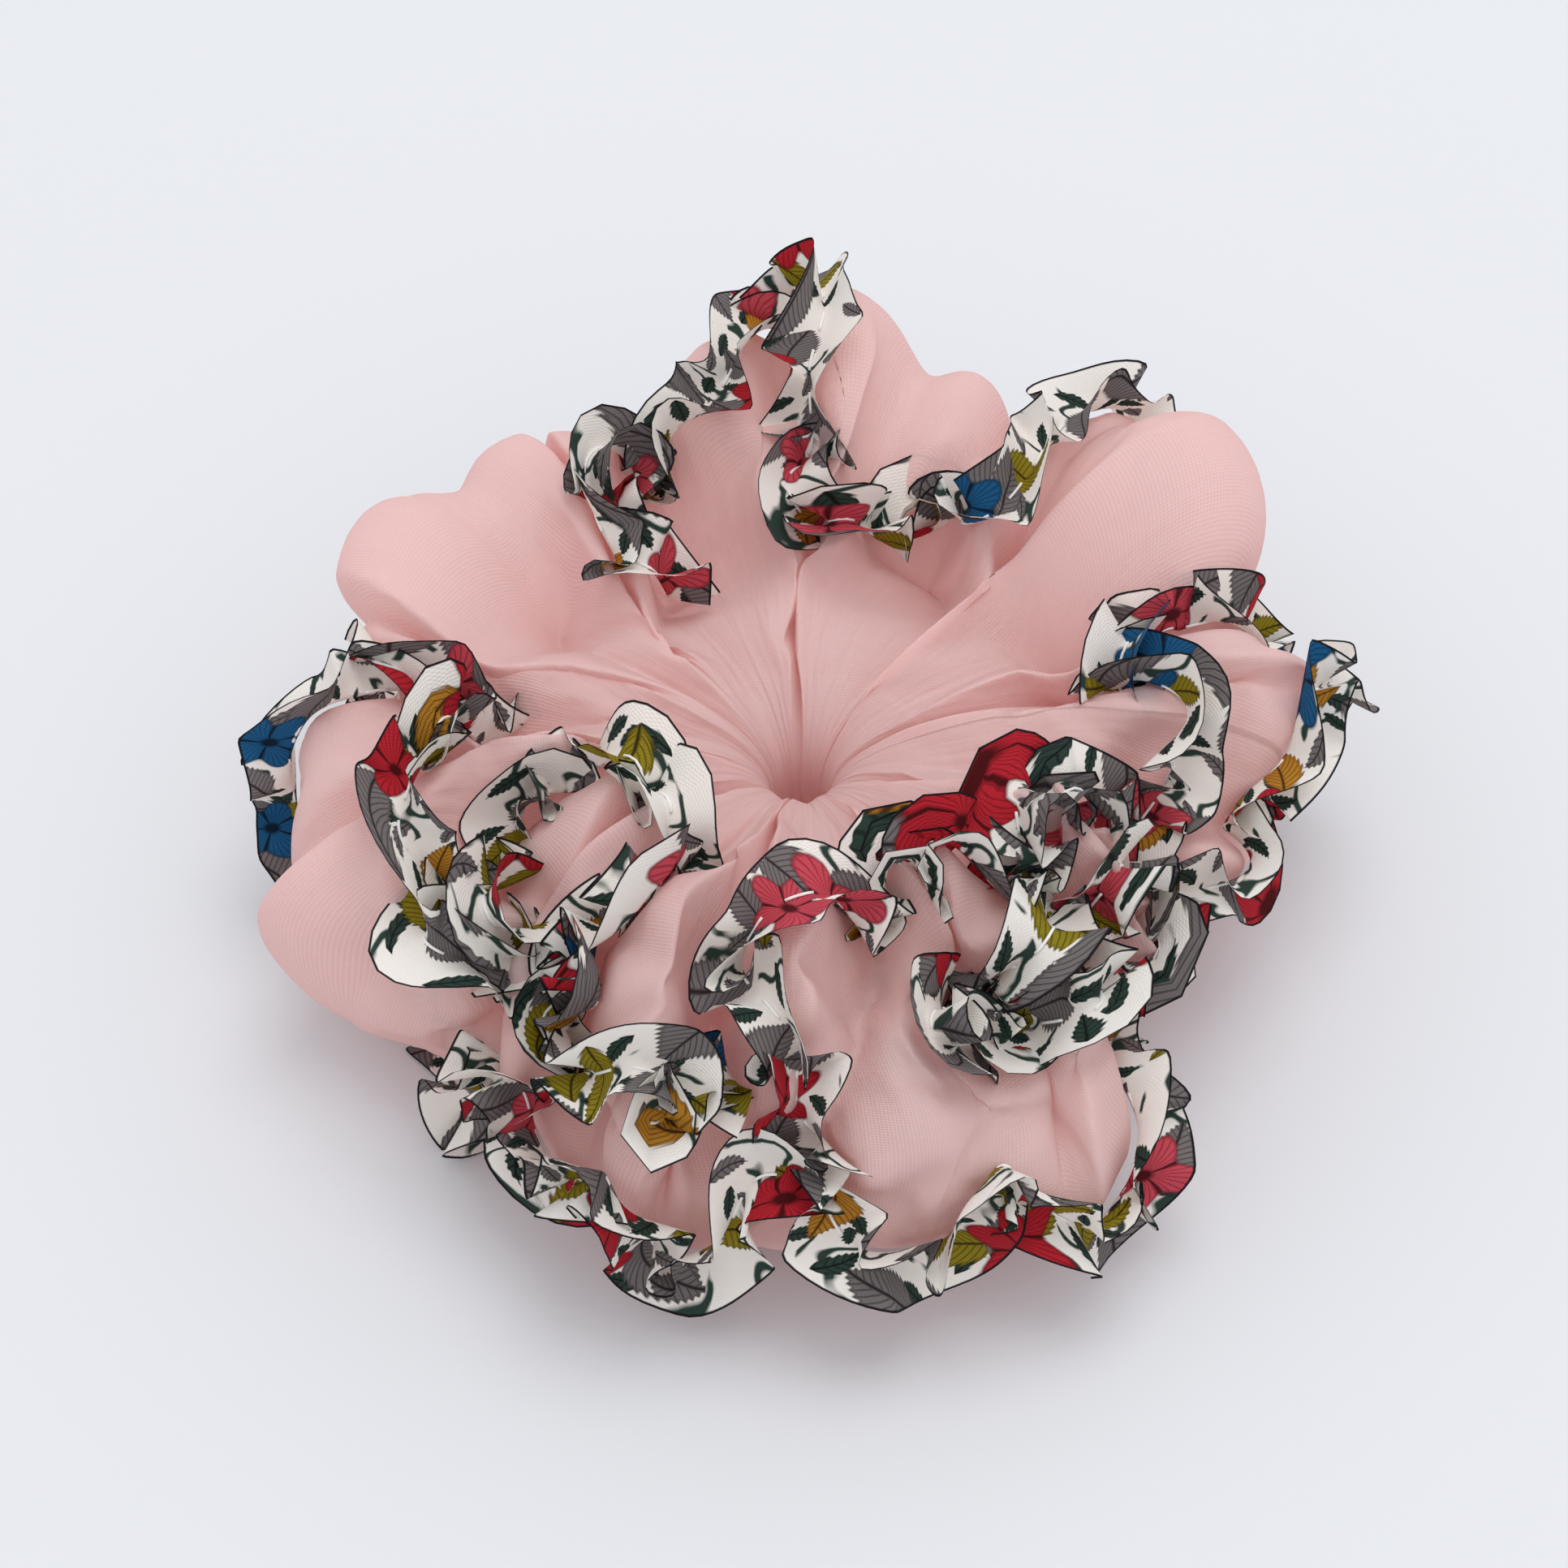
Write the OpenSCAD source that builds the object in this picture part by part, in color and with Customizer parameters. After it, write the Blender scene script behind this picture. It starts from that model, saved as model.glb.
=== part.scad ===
// Gathered chiffon scrunchie with two rows of ruffled ribbon trim.
// Millimetres, +Z up. It lies on Z = 0 with the axis of its hair hole on the Z axis.
// The right half slides along +X from the left half as the elastic stretches.

/* [Cover] */
// Diameter over the plain gathered tube, without its lobes
cover_d = 129; // [110:1:160]
// Height of the plain gathered tube, without its lobes
cover_h = 41; // [35:0.5:52]
// Diameter of the hair hole at rest
hole_d = 14; // [12:0.5:20]
// Thickness of the chiffon wall with its soft gathers
cloth_t = 0.9; // [0.7:0.1:1.5]
// Size of the puffed lobes against their drawn size
lobe_size = 1; // [0.4:0.05:1.1]
// How far the back of the ruffle flares up and out
back_flare = 12; // [0:0.5:14]
// How far the front of the ruffle stands up towards the hole
front_lean = 8; // [0:0.5:10]
// Number of gathers running into the hair hole
pleat_count = 22; // [12:1:28]
// Depth of a gather
pleat_depth = 3.6; // [0.5:0.1:4]
// Depth to which the soft underside is pressed flat
rest_flat = 0.5; // [0.3:0.1:1]

/* [Elastic] */
// Inside diameter of the relaxed elastic
elastic_d = 42; // [36:1:50]
// Width of the elastic band
elastic_w = 6; // [4:0.5:8]
// Thickness of the elastic band
elastic_t = 1.2; // [0.8:0.1:1.6]
// Length of the lapped ends
lap_l = 14; // [8:1:20]

/* [Ribbon trim] */
// Width of the ribbon
trim_w = 16; // [8:0.5:18]
// Thickness of the ribbon
trim_t = 0.5; // [0.4:0.1:0.8]
// Length of one gather of the ribbon
frill_pitch = 13.5; // [10:0.5:18]
// Steepest lean of a ribbon edge from the skin, in degrees
frill_steep = 62; // [50:1:66]
// Flattest lean of a ribbon edge from the skin, in degrees
frill_flat = 22; // [15:1:35]
// Clearance between ribbon and chiffon
trim_clear = 1; // [0.5:0.1:1.5]

/* [Stitching] */
// Length of one visible stitch
stitch_l = 3; // [2:0.5:4]
// Pitch of the stitches in the hidden seams
seam_pitch = 6; // [5:0.5:9]
// Diameter of the thread
thread_d = 0.5; // [0.4:0.1:0.7]
// Clearance between a thread and the cloth it lies on
thread_clear = 0.15; // [0.1:0.05:0.3]

/* [Part shown] */
// Sub-part to show

/* [Hidden] */
$fn = 48;
chiffon = [0.94, 0.70, 0.68];
rubber = [0.93, 0.91, 0.87];
ribbon = [0.90, 0.87, 0.84];
white = [0.97, 0.97, 0.96];
pink = [0.90, 0.60, 0.60];

// Core ring that the gathered tube puffs out from
hole_r = hole_d / 2;
core_inner = 18.5;
core_lift = 3;
core_r = (cover_d / 2 + core_inner) / 2;
core_h = cover_h / 2 + core_lift;
hole_skirt = 3;
half_in = core_r - hole_r + hole_skirt;
half_out = cover_d / 2 - core_r;
half_up = cover_h - core_h;
half_down = core_h + rest_flat;
squareness = 2.5;

// The two strips meet at the front and the back, a hair apart
seam_gap = 0.2;
left_from = 90 + seam_gap;
left_to = 270 - seam_gap;
right_from = -90 + seam_gap;
right_to = 90 - seam_gap;

// Outward size of the plain puffed tube in the direction phi of its cross-section
function half_x(phi) = cos(phi) > 0 ? half_out : half_in;
function half_z(phi) = sin(phi) > 0 ? half_up : half_down;
function puff(phi) = pow(pow(abs(cos(phi)) / half_x(phi), squareness)
    + pow(abs(sin(phi)) / half_z(phi), squareness), -1 / squareness);

function clamp01(x) = min(1, max(0, x));
function ease(x) = let (c = clamp01(x)) c * c * (3 - 2 * c);
function wrap(d) = d - 360 * floor((d + 180) / 360);
function swell(d, width) = exp(-pow(wrap(d) / width, 2));

// The back flares up and out, and the front stands up towards the hole
flare_phi = 38;
flare_width = 30;
flare_turn = 5;
flare_start = -0.25;
lean_phi = 105;
lean_width = 40;
lean_start = 0.2;
lean_span = 0.9;
function at_back(theta) = ease((sin(theta - flare_turn) - flare_start) / lean_span);
function at_front(theta) = ease((lean_start - sin(theta)) / lean_span);
function flare(theta, phi) = back_flare * at_back(theta) * swell(phi - flare_phi, flare_width)
    + front_lean * at_front(theta) * swell(phi - lean_phi, lean_width);

// Lobes and clefts as [azimuth, section angle, half width in azimuth, half width in section angle, height]
lobes = [[158, 10, 13, 60, -8], [222, -5, 18, 60, -9], [332, 0, 18, 60, -16], [96, 45, 16, 30, 7],
    [303, -14, 8, 30, 6], [150, 10, 10, 36, 4], [79, 40, 8, 36, 7], [66, 30, 6, 34, 4],
    [38, 28, 13, 44, 8], [7, 6, 9, 34, 5], [351, 14, 7, 34, 5], [331, 2, 8, 32, 5],
    [308, 14, 8, 38, 4], [281, 34, 7, 50, 8], [252, 56, 8, 44, 4], [236, -6, 9, 32, 6],
    [203, 8, 12, 44, 8], [116, 18, 15, 40, -9], [166, 24, 7, 44, -5], [222, 28, 8, 46, -6],
    [263, 34, 7, 46, -6], [295, 48, 8, 40, -5], [20, 24, 7, 44, -7], [57, 30, 7, 44, -7],
    [297, 70, 13, 30, -4], [219, 84, 10, 26, -8], [345, 74, 9, 26, -5]];
function total(list, i = 0) = i == len(list) ? 0 : list[i] + total(list, i + 1);
function lobe(theta, phi) = lobe_size * total([for (l = lobes)
    l[4] * swell(theta - l[0], l[2]) * swell(phi - l[1], l[3])]);

// Gathers are deepest on the slope that runs down into the hole
pleat_rise = 1.6;
pleat_edge = 0.62;
pleat_fade = 1.1;
function pleat_share(phi) = sin(phi) <= 0 ? 0
    : ease(sin(phi) * pleat_rise) * ease((pleat_edge - cos(phi)) / pleat_fade);
function pleat(theta, phi) = pleat_depth * (1 - abs(sin(pleat_count / 2 * theta))) * pleat_share(phi);

function skin(theta, phi) = puff(phi) + flare(theta, phi) + lobe(theta, phi) - pleat(theta, phi);

// Point of the puffed tube at azimuth theta, section angle phi and distance out from the core
function ring(theta, phi, out) = let (r = core_r + out * cos(phi))
    [r * cos(theta), r * sin(theta), core_h + out * sin(phi)];
function on_skin(theta, phi, rise) = ring(theta, phi, skin(theta, phi) + rise);

// Hollow of the tube: its inner wall is the bunched cloth that the elastic grips
seat_clear = 0.3;
seat_r = elastic_d / 2 - seat_clear;
function hollow(theta, phi) = let (
    deep = puff(phi) + flare(theta, phi) + lobe(theta, phi) - pleat_depth - cloth_t)
    cos(phi) >= 0 ? deep : min(deep, (core_r - seat_r) / -cos(phi));

// Ribbon rows as [azimuth, section angle] at the crests and troughs of their meander, seam to seam
upper_left = [[90, 60], [122, 106], [148, 28], [178, 76], [198, 46], [214, 114], [236, 40], [250, 52],
    [270, 40]];
upper_right = [[270, 40], [290, 106], [310, 62], [328, 102], [348, 62], [371, 84], [396, 26], [414, 84],
    [426, 64], [438, 102], [450, 60]];
lower_left = [[90, 0], [112, 10], [136, -22], [158, -16], [180, 12], [206, -18], [228, -12], [242, -20],
    [254, -10], [270, -16]];
lower_right = [[270, -16], [290, -2], [304, -14], [324, 4], [346, -6], [366, 14], [392, -26], [412, -10],
    [432, 6], [450, 0]];
turn_round = 0.72;

function meander(a, b, u) = [
    a[0] + (b[0] - a[0]) * (u + turn_round * sin(360 * u) / (2 * PI)),
    a[1] + (b[1] - a[1]) * (1 - cos(180 * u)) / 2];
function row_fine(row, steps) = [for (i = [0 : len(row) - 2]) for (k = [0 : steps - 1])
    meander(row[i], row[i + 1], k / steps), row[len(row) - 1]];

// A row is measured along the skin and stepped off evenly
row_steps = 16;
function along(path) = let (p = [for (q = path) on_skin(q[0], q[1], 0)])
    [for (i = 0, s = 0; i < len(p); s = s + (i + 1 < len(p) ? norm(p[i + 1] - p[i]) : 0), i = i + 1) s];
function spot(path, run, s) = let (i = min(len(run) - 2, max(0, len([for (r = run) if (r <= s) 1]) - 1)))
    path[i] + (path[i + 1] - path[i]) * (s - run[i]) / (run[i + 1] - run[i]);

// Closed solid from rings of points
function ring_faces(count, size) = concat(
    [for (i = [0 : count - 2]) for (j = [0 : size - 1]) let (k = (j + 1) % size)
        [i * size + j, i * size + k, (i + 1) * size + k]],
    [for (i = [0 : count - 2]) for (j = [0 : size - 1]) let (k = (j + 1) % size)
        [i * size + j, (i + 1) * size + k, (i + 1) * size + j]]);
function strip_faces(count, size) = [for (i = [0 : count - 2]) for (j = [0 : size - 1])
    let (k = (j + 1) % size, a = i * size + j, b = i * size + k, c = a + size, d = b + size)
    each (j < size / 2 ? [[a, b, d], [a, d, c]] : [[a, b, c], [b, d, c]])];

// Gathered chiffon half, hollow, open towards the other half at both of its ends
phi_steps = 14;
theta_steps = 52;
hollow_steps = 26;
module cover_half(from, to) {
    rim = phi_steps;
    outer = [for (i = [0 : theta_steps]) let (a = from + (to - from) * i / theta_steps)
        for (j = [0 : rim - 1]) let (p = 360 * j / rim) ring(a, p, skin(a, p))];
    inner = [for (i = [0 : hollow_steps]) let (a = from + (to - from) * i / hollow_steps)
        for (j = [0 : rim - 1]) let (p = 360 * j / rim) ring(a, p, hollow(a, p))];
    base = len(outer);
    last_out = theta_steps * rim;
    last_in = base + hollow_steps * rim;
    skins = concat(ring_faces(theta_steps + 1, rim),
        [for (f = ring_faces(hollow_steps + 1, rim)) [f[2] + base, f[1] + base, f[0] + base]]);
    ends = [for (j = [0 : rim - 1]) let (k = (j + 1) % rim) each [
        [j, base + k, k], [j, base + j, base + k],
        [last_out + j, last_out + k, last_in + k], [last_out + j, last_in + k, last_in + j]]];
    intersection() {
        difference() {
            polyhedron(points = concat(outer, inner), faces = concat(skins, ends));
            translate([0, 0, -cover_h]) cylinder(r = hole_r, h = 3 * cover_h);
        }
        translate([-cover_d, -cover_d, 0]) cube([2 * cover_d, 2 * cover_d, 2 * cover_h]);
    }
}

// Gathered ribbon over part of a row: stitched down its middle, both edges leaning out in turn
frill_steps = 4;
frill_shift = 130;
aim_step = 0.5;
end_clear = 2.2;
function lean(s, shift) = (frill_steep + frill_flat) / 2
    + (frill_steep - frill_flat) / 2 * sin(360 * s / frill_pitch + shift);
function ribbon_ring(path, run, s) = let (
    here = spot(path, run, s),
    next = spot(path, run, s + aim_step) - spot(path, run, s - aim_step),
    reach = core_r + skin(here[0], here[1]) * cos(here[1]),
    depth = skin(here[0], here[1]),
    go = [next[0] * reach, next[1] * depth] / norm([next[0] * reach, next[1] * depth]),
    half = trim_w / 2,
    left = lean(s, 0),
    right = lean(s, frill_shift),
    low = trim_clear,
    side = [for (e = [[half, left], [-half, right]]) let (b = e[0] * cos(e[1]))
        [here[0] - go[1] * b / reach * 180 / PI, here[1] + go[0] * b / depth * 180 / PI,
            low + half * sin(e[1])]])
    [on_skin(side[0][0], side[0][1], side[0][2]), on_skin(here[0], here[1], low),
        on_skin(side[1][0], side[1][1], side[1][2]), on_skin(side[1][0], side[1][1], side[1][2] + trim_t),
        on_skin(here[0], here[1], low + trim_t), on_skin(side[0][0], side[0][1], side[0][2] + trim_t)];
function ribbon_rings(row) = let (
    path = row_fine(row, row_steps),
    run = along(path),
    whole = run[len(run) - 1] - 2 * end_clear,
    count = round(whole / frill_pitch * frill_steps))
    [for (i = [0 : count]) ribbon_ring(path, run, end_clear + whole * i / count)];
module ribbon_half(row) {
    rings = ribbon_rings(row);
    last = (len(rings) - 1) * 6;
    caps = [[0, 5, 4], [0, 4, 1], [1, 4, 3], [1, 3, 2],
        [last, last + 4, last + 5], [last, last + 1, last + 4],
        [last + 1, last + 3, last + 4], [last + 1, last + 2, last + 3]];
    polyhedron(points = [for (r = rings) each r], faces = concat(strip_faces(len(rings), 6), caps));
}

function unit(v) = v / norm(v);

// One straight stitch from one point to another
thread_sides = 8;
module stitch(a, b) {
    d = b - a;
    translate(a)
        rotate([0, acos(d[2] / norm(d)), atan2(d[1], d[0])])
            cylinder(d = thread_d, h = norm(d), $fn = thread_sides);
}

// Stitches lie in the valley down the middle of the ribbon, one on every other gather step
stitch_every = 2;
stitch_most = 0.45;
module stitch_half(row) {
    rings = ribbon_rings(row);
    rise = thread_d / 2 / cos(frill_steep) + thread_clear;
    for (i = [1 : stitch_every : len(rings) - 3]) {
        p = rings[i][4] + rise * unit(rings[i][4] - rings[i][1]);
        q = rings[i + 1][4] + rise * unit(rings[i + 1][4] - rings[i + 1][1]);
        share = min(stitch_most, stitch_l / norm(q - p) / 2);
        stitch(p + (q - p) * (0.5 - share), p + (q - p) * (0.5 + share));
    }
}

// Flat elastic with its ends lapped at the left
lap_bite = 0.01;
module elastic_loop() {
    lap = lap_l / (elastic_d / 2 + elastic_t) * 180 / PI;
    color(rubber) translate([0, 0, core_h - elastic_w / 2]) {
        rotate_extrude() translate([elastic_d / 2, 0]) square([elastic_t, elastic_w]);
        rotate([0, 0, 180 - lap / 2]) rotate_extrude(angle = lap)
            translate([elastic_d / 2 + elastic_t - lap_bite, 0]) square([elastic_t + lap_bite, elastic_w]);
    }
}

// Bar tack of three passes over the lap
tack_passes = 3;
tack_share = 0.7;
module elastic_tack() {
    r = elastic_d / 2 + 2 * elastic_t + thread_d / 2 + thread_clear;
    tall = elastic_w * tack_share;
    color(white) for (i = [0 : tack_passes - 1])
        rotate([0, 0, 180 + (i - (tack_passes - 1) / 2) * lap_l / tack_passes / r * 180 / PI])
            translate([r, 0, core_h - tall / 2]) cylinder(d = thread_d, h = tall, $fn = thread_sides);
}

// Long seam inside the tube, just under the elastic
seam_drop = 2;
module tube_seam(from, to) {
    r = seat_r + thread_d / 2 + thread_clear;
    z = core_h - elastic_w / 2 - seam_drop;
    turn = seam_pitch / r * 180 / PI;
    half = stitch_l / r * 90 / PI;
    count = floor((to - from - 2 * turn) / turn);
    step = (to - from - 2 * turn) / count;
    for (i = [0 : count]) {
        a = from + turn + step * i;
        stitch([r * cos(a - half), r * sin(a - half), z], [r * cos(a + half), r * sin(a + half), z]);
    }
}

// Seam that joins the two strips, on the inside of the tube
seam_clear = 0.6;
seam_beside = 2;
seam_skip = 1.5;
seam_from = 0.3;
module cross_seam(theta) {
    depth = thread_d / 2 + seam_clear;
    away = [for (i = [0 : phi_steps]) abs(i - phi_steps / 2)];
    for (i = [0 : phi_steps - 1]) if (min(away[i], away[i + 1]) > seam_skip) {
        a = 360 * i / phi_steps;
        b = 360 * (i + 1) / phi_steps;
        p = ring(theta, a, hollow(theta, a) - depth);
        q = ring(theta, b, hollow(theta, b) - depth);
        stitch(p + (q - p) * seam_from, q - (q - p) * seam_from);
    }
}

module cover_left() {
    color(chiffon) cover_half(left_from, left_to);
}

module cover_right() {
    color(chiffon) cover_half(right_from, right_to);
}

module tube_seam_left() {
    color(pink) tube_seam(left_from, left_to);
}

module tube_seam_right() {
    color(pink) tube_seam(right_from, right_to);
}

module front_seam() {
    color(pink) cross_seam(270 - seam_beside);
}

module back_seam() {
    color(pink) cross_seam(90 - seam_beside);
}

module upper_trim_left() {
    color(ribbon) ribbon_half(upper_left);
}

module upper_trim_right() {
    color(ribbon) ribbon_half(upper_right);
}

module lower_trim_left() {
    color(ribbon) ribbon_half(lower_left);
}

module lower_trim_right() {
    color(ribbon) ribbon_half(lower_right);
}

module upper_stitch_left() {
    color(white) stitch_half(upper_left);
}

module upper_stitch_right() {
    color(white) stitch_half(upper_right);
}

module lower_stitch_left() {
    color(white) stitch_half(lower_left);
}

module lower_stitch_right() {
    color(white) stitch_half(lower_right);
}

elastic_loop();
elastic_tack();
cover_left();
cover_right();
tube_seam_left();
tube_seam_right();
front_seam();
back_seam();
upper_trim_left();
upper_trim_right();
lower_trim_left();
lower_trim_right();
upper_stitch_left();
upper_stitch_right();
lower_stitch_left();
lower_stitch_right();
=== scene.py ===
"""Gathered chiffon scrunchie with ruffled floral ribbon, lying on a pale table."""
import math
import random

import bpy
import numpy as np
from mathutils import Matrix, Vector
from mathutils.bvhtree import BVHTree


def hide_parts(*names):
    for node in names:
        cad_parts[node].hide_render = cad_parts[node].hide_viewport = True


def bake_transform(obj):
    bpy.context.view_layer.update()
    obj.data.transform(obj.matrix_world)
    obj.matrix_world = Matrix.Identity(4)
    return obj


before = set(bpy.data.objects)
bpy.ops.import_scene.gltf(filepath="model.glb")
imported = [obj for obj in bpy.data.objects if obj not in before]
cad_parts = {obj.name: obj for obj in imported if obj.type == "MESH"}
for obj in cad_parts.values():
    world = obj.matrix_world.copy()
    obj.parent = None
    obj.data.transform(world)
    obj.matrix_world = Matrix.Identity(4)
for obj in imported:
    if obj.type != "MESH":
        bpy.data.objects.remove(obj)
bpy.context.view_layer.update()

MM = 0.001

# Form of the gathered tube, in mm and degrees
CORE_R, CORE_H = 41.5, 23.5
HALF_IN, HALF_OUT, HALF_UP, HALF_DOWN = 37.5, 23.0, 17.5, 24.0
SQUARE = 2.5
# What the back flares out and the front leans up: height, section angle, half width in section angle
FLARE = (12.0, 38.0, 30.0)
LEAN = (8.0, 105.0, 40.0)
BACK_TURN, BACK_START, FRONT_START, SIDE_SPREAD = 5.0, 0.25, 0.2, 0.9
FLOOR_GAP = 0.25
# Lobes and clefts: azimuth, section angle, half width in azimuth and in section angle, height
LOBES = (
    (158, 10, 13, 60, -8), (222, -5, 18, 60, -9), (243, -8, 8, 40, -4), (332, 0, 18, 60, -16),
    (93, 42, 12, 30, 11), (114, 52, 9, 22, 5), (299, -12, 10, 30, 11), (147, 24, 12, 36, 9),
    (79, 40, 8, 36, 7), (66, 30, 6, 34, 4), (35, 28, 15, 44, 11), (8, 14, 11, 36, 9),
    (351, 14, 7, 34, 2), (331, 2, 8, 32, 5), (308, 14, 8, 38, 4), (281, 34, 7, 50, 8),
    (252, 56, 8, 44, 4), (247, -8, 9, 32, 7), (268, -10, 10, 30, 4), (201, 2, 14, 44, 13),
    (180, -2, 8, 30, 3), (116, 18, 15, 40, -9), (94, 30, 5, 44, -6), (138, 22, 4, 40, -5),
    (166, 24, 6, 44, -6), (189, 34, 4, 34, -5), (222, 28, 6, 46, -8), (263, 34, 5, 46, -8),
    (295, 48, 7, 40, -9), (320, 24, 5, 44, -6), (341, 16, 4, 44, -5), (357, 18, 4, 44, -3),
    (20, 24, 5, 44, -9), (57, 30, 5, 44, -9), (72, 44, 3, 40, -4), (297, 66, 12, 26, -13),
    (219, 84, 9, 22, -11), (306, 44, 6, 14, -7), (345, 74, 7, 20, -8), (258, 62, 5, 30, -6))
# Folds from the hole to the rim: azimuth of the valley, radius where it starts, place of the ridge on the
# way to the next valley, how far that ridge lies over, and share of the full depth
FOLDS = (
    (10, 8, 0.3, -0.25, 0.9), (24, 8, 0.7, 0.3, 1.0), (44, 8, 0.3, -0.2, 0.9), (57, 8, 0.82, 0.26, 1.0),
    (89, 8, 0.42, -0.1, 1.0), (118, 8, 0.7, 0.3, 1.0), (132, 18, 0.3, -0.2, 0.7),
    (145, 8, 0.7, 0.3, 1.0), (158, 22, 0.3, -0.2, 0.7), (171, 8, 0.7, 0.25, 1.0),
    (188, 10, 0.3, -0.25, 0.9), (204, 8, 0.7, 0.25, 0.9), (222, 8, 0.3, -0.25, 1.0),
    (240, 8, 0.7, 0.25, 0.9), (256, 8, 0.35, -0.3, 1.0), (279, 8, 0.7, 0.3, 0.9),
    (297, 8, 0.3, -0.25, 1.0), (315, 10, 0.7, 0.25, 0.9), (332, 8, 0.3, -0.25, 1.0),
    (350, 8, 0.7, 0.25, 0.9))
FOLD_DEPTH = 13.0
FOLD_STEEP = 2.6
FOLD_ONSET = 16.0
FOLD_ROUND = 1.25
# How the folds wander: swing in degrees, waves round the loop, waves round the section
FOLD_WAVES = ((4, 3, 1.4), (3, 7, -2))
# Share of the depth left over the rim at the back, and what the front adds
RIM_SHARE, RIM_FRONT = 0.4, 0.35

# Ribbon rows as azimuth, section angle
UPPER_ROW = (
    (124, 116), (131, 101), (131, 79), (123, 66), (112, 62), (105, 66), (100, 60), (96, 46), (90, 38),
    (86, 52), (89, 66), (93, 90), (86, 106), (75, 99), (70, 82), (68, 70), (61, 68), (55, 82), (53, 64),
    (51, 36), (47, 6), (41, -14), (32, -18), (24, 2), (18, 42), (15, 76), (7, 80), (2, 62), (354, 51),
    (343, 51), (340, 70), (341, 86), (334, 98), (324, 104), (314, 96), (304, 104), (290, 110),
    (277, 99), (266, 92), (262, 80), (266, 68), (271, 56), (270, 43), (271, 30), (276, 12))
MIDDLE_ROW = (
    (318, 84), (311, 71), (303, 61), (295, 58), (288, 56), (288, 46), (294, 40), (298, 29), (303, 37),
    (309, 38), (316, 38), (322, 44), (321, 56), (325, 69), (334, 70))
LEFT_ROW = (
    (165, 30), (171, 60), (180, 72), (191, 63), (201, 52), (209, 43), (214, 35), (221, 40), (218, 55),
    (209, 65), (202, 80), (196, 96), (195, 112), (208, 121), (230, 116), (243, 99), (240, 88), (233, 80),
    (233, 69), (240, 64), (242, 54), (236, 45), (232, 33), (234, 21), (240, 19), (244, 33), (249, 44),
    (254, 40), (252, 27), (258, 35), (265, 40))
LOWER_ROW = (
    (171, 54), (174, 36), (177, 18), (178, -4), (181, -34), (190, -58), (205, -64), (218, -56),
    (224, -30), (228, -4), (231, 8), (236, -2), (241, -16), (246, -4), (249, 14), (252, -2), (256, -24),
    (261, -12), (266, 8), (271, 4), (277, -10), (284, -14), (288, 0), (292, 10), (297, -8), (303, -18),
    (309, -6), (313, 16), (318, 26), (325, 12), (331, 22), (338, 30), (344, 12), (350, 8), (357, 24),
    (364, 30), (370, 14), (378, -28), (392, -52), (412, -44), (432, -12), (450, 0), (472, 10),
    (496, -22), (518, -16), (532, 0))

# Points along a row: steps between two knots, and spacing in mm
KNOT_STEPS, ROW_STEP = 24, 0.6
# Share of a lobe's height that a sewn row follows
ROW_LOBE = 0.6

TRIM_W = 16.0
FRILL_PITCH = 13.0
STITCH_PITCH, STITCH_L, THREAD_R = 6.0, 3.0, 0.22


def ease(x):
    x = np.clip(x, 0, 1)
    return x * x * (3 - 2 * x)


def wrap(d):
    return (d + 180) % 360 - 180


def base_size(th, ph):
    """Distance from the core ring out to the plain puffed tube."""
    c, s = np.cos(np.radians(ph)), np.sin(np.radians(ph))
    a = np.where(c > 0, HALF_OUT, HALF_IN)
    b = np.where(s > 0, HALF_UP, HALF_DOWN)
    r = (np.abs(c / a) ** SQUARE + np.abs(s / b) ** SQUARE) ** (-1 / SQUARE)
    back = ease((np.sin(np.radians(th - BACK_TURN)) + BACK_START) / SIDE_SPREAD)
    front = ease((-np.sin(np.radians(th)) + FRONT_START) / SIDE_SPREAD)
    r = r + FLARE[0] * back * np.exp(-(wrap(ph - FLARE[1]) / FLARE[2]) ** 2)
    return r + LEAN[0] * front * np.exp(-(wrap(ph - LEAN[1]) / LEAN[2]) ** 2)


def lobe_size(th, ph):
    """Height that the lobes add and the clefts take away."""
    r = np.zeros(np.broadcast(th, ph).shape)
    for t, p, wt, wp, h in LOBES:
        r = r + h * np.exp(-(wrap(th - t) / wt) ** 2) * np.exp(-(wrap(ph - p) / wp) ** 2)
    return r


def ring(th, ph, out):
    """Place of a point at a distance out from the core ring."""
    r = CORE_R + out * np.cos(np.radians(ph))
    return np.stack([r * np.cos(np.radians(th)), r * np.sin(np.radians(th)),
                     CORE_H + out * np.sin(np.radians(ph))], axis=-1)


def spline(knots, step):
    """Points evenly spaced along a smooth line through the knots."""
    k = np.asarray(knots, float)
    k = np.vstack([2 * k[0] - k[1], k, 2 * k[-1] - k[-2]])
    k[:, 0] = np.degrees(np.unwrap(np.radians(k[:, 0])))
    u = np.linspace(0, 1, KNOT_STEPS, endpoint=False)[:, None]
    out = []
    for a, b, c, d in zip(k[:-3], k[1:-2], k[2:-1], k[3:]):
        out.append(0.5 * (2 * b + (c - a) * u + (2 * a - 5 * b + 4 * c - d) * u ** 2
                          + (3 * b - a - 3 * c + d) * u ** 3))
    path = np.vstack(out + [k[-2:-1]])
    place = ring(path[:, 0], path[:, 1], base_size(path[:, 0], path[:, 1]))
    run = np.concatenate([[0], np.cumsum(np.linalg.norm(np.diff(place, axis=0), axis=1))])
    s = np.linspace(0, run[-1], int(run[-1] / step) + 1)
    return np.stack([np.interp(s, run, path[:, 0]), np.interp(s, run, path[:, 1])], axis=1)


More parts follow.
